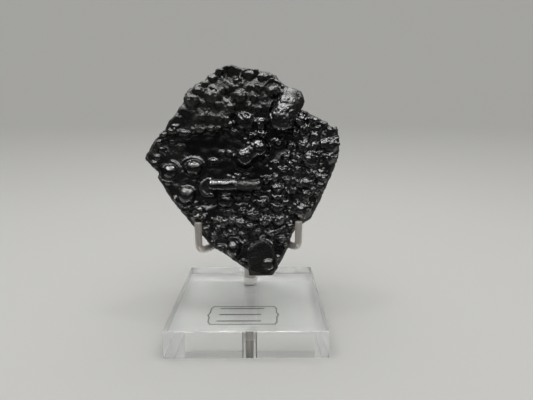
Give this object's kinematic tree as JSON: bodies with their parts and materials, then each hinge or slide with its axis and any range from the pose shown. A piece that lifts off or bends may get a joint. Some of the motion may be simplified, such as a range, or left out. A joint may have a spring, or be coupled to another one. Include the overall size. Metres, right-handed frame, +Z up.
{
  "type": "botryoidal hematite specimen on a stand",
  "caption": "Slab of glossy black botryoidal hematite held upright by wire hook arms on a post, on a square clear acrylic block with a small label film.",
  "frame": {"origin": "centre of the clear block's underside, where the stand rests", "axes": "+Z up along the post, -Y towards the viewer and the botryoidal front, +X to the viewer's right"},
  "size_m": [0.067, 0.0508, 0.0896],
  "materials": {
    "hematite": "naturally glossy near-black botryoidal crust, duller on broken sides",
    "clear_acrylic": "polished clear acrylic",
    "stand_metal": "satin grey-brown metal wire and rod",
    "label_film": "clear printed film with plain ruled lines"
  },
  "bodies": {
    "root": {"hematite": "hematite", "base_block": "clear_acrylic", "post": "stand_metal", "arm_left": "stand_metal", "arm_right": "stand_metal", "arm_back": "stand_metal", "label": "label_film"}
  },
  "joints": []
}
